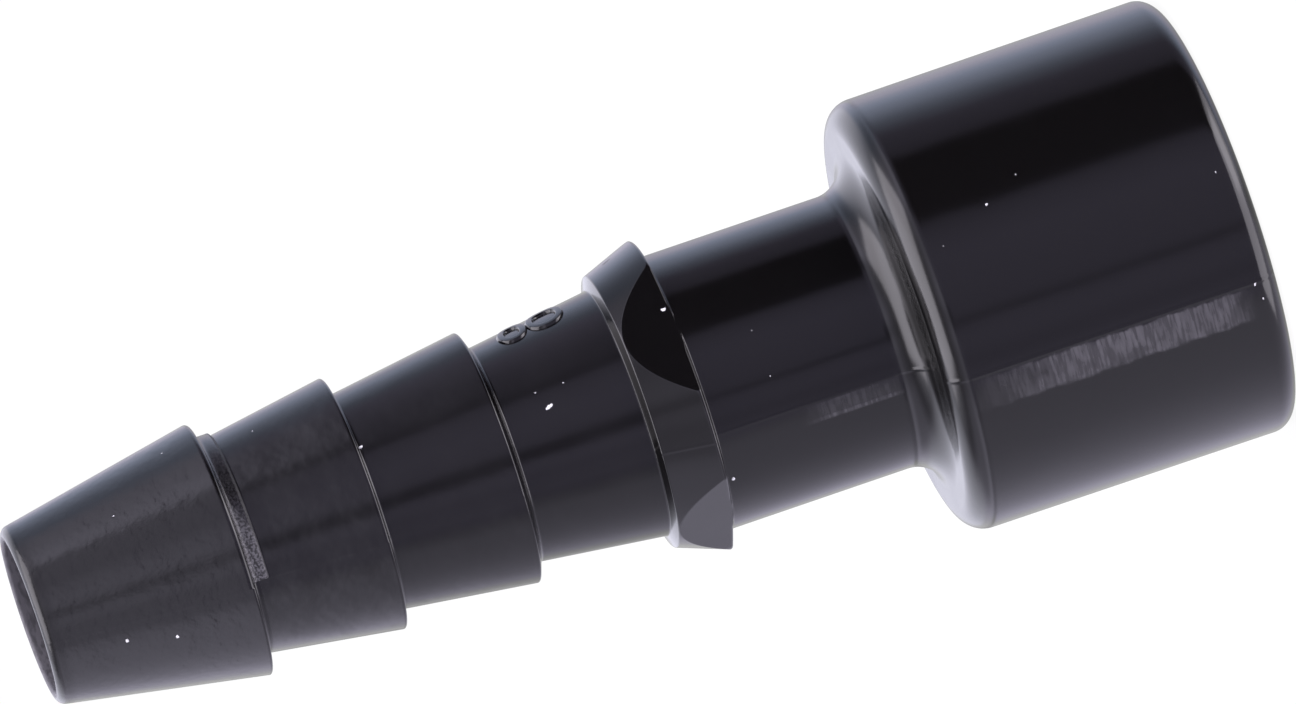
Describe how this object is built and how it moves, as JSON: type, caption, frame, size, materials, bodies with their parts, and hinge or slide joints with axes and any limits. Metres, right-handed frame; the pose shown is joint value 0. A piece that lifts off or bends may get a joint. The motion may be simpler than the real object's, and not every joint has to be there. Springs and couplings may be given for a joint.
{
  "type": "hose connector",
  "caption": "Straight barbed hose tail with a flatted collar and a smooth neck that widens into a round push-on socket, moulded in black plastic.",
  "frame": {"origin": "centre of the socket's mouth, on the plane that the part stands on", "axes": "+Z along the bore, from the socket's mouth to the open end of the hose tail; the mould parts in the XZ plane, and -Y is the side that carries the raised size figure"},
  "size_m": [0.016, 0.016, 0.0445],
  "materials": {
    "black_plastic": "glossy, as moulded"
  },
  "bodies": {
    "root": {"hose_connector": "black_plastic"}
  },
  "joints": []
}
